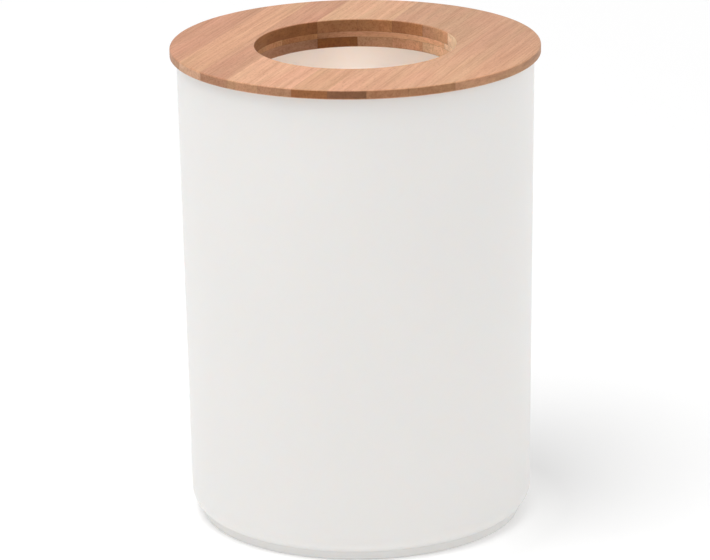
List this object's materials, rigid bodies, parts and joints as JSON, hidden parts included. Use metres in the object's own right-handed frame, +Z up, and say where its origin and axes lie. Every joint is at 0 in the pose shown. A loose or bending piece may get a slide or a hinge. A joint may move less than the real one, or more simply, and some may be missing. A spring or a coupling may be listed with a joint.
{
  "type": "waste bin",
  "caption": "Round white waste bin: a slightly tapered moulded body on a foot ring, and a loose bamboo lid with a round hole to drop rubbish through.",
  "frame": {"origin": "middle of the foot ring's underside, on the bin's axis", "axes": "+Z up along the bin's axis; -Y faces the picture's camera"},
  "size_m": [0.205, 0.205, 0.2703],
  "materials": {
    "white_plastic": "smooth satin moulded plastic",
    "bamboo_pale": "sanded and oiled bamboo strip, pale",
    "bamboo_honey": "sanded and oiled bamboo strip, honey",
    "bamboo_brown": "sanded and oiled bamboo strip, brown"
  },
  "bodies": {
    "bin": {"bin_body": "white_plastic"},
    "lid": {"bottom_stave_left_1": "bamboo_honey", "bottom_stave_left_1_back": "bamboo_honey", "bottom_stave_left_2": "bamboo_brown", "bottom_stave_left_2_back": "bamboo_brown", "bottom_stave_left_3": "bamboo_pale", "bottom_stave_left_4": "bamboo_pale", "bottom_stave_left_5": "bamboo_pale", "bottom_stave_right_1": "bamboo_pale", "bottom_stave_right_1_back": "bamboo_pale", "bottom_stave_right_2": "bamboo_pale", "bottom_stave_right_2_back": "bamboo_pale", "bottom_stave_right_3": "bamboo_honey", "bottom_stave_right_4": "bamboo_pale", "bottom_stave_right_5": "bamboo_pale", "core_stave_back_1": "bamboo_pale", "core_stave_back_1_left": "bamboo_pale", "core_stave_back_2": "bamboo_pale", "core_stave_back_2_left": "bamboo_pale", "core_stave_back_3": "bamboo_pale", "core_stave_back_4": "bamboo_pale", "core_stave_back_5": "bamboo_pale", "core_stave_front_1": "bamboo_pale", "core_stave_front_1_left": "bamboo_pale", "core_stave_front_2": "bamboo_pale", "core_stave_front_2_left": "bamboo_pale", "core_stave_front_3": "bamboo_pale", "core_stave_front_4": "bamboo_pale", "core_stave_front_5": "bamboo_pale", "top_stave_left_1": "bamboo_pale", "top_stave_left_1_back": "bamboo_pale", "top_stave_left_2": "bamboo_pale", "top_stave_left_2_back": "bamboo_pale", "top_stave_left_3": "bamboo_pale", "top_stave_left_4": "bamboo_pale", "top_stave_left_5": "bamboo_pale", "top_stave_left_6": "bamboo_pale", "top_stave_right_1": "bamboo_brown", "top_stave_right_1_back": "bamboo_brown", "top_stave_right_2": "bamboo_brown", "top_stave_right_2_back": "bamboo_brown", "top_stave_right_3": "bamboo_honey", "top_stave_right_4": "bamboo_honey", "top_stave_right_5": "bamboo_honey"}
  },
  "joints": [
    {"name": "lid_lift", "type": "slide", "parent": "bin", "child": "lid", "axis": [0, 0, 1], "range_m": [0, 0.12]}
  ]
}
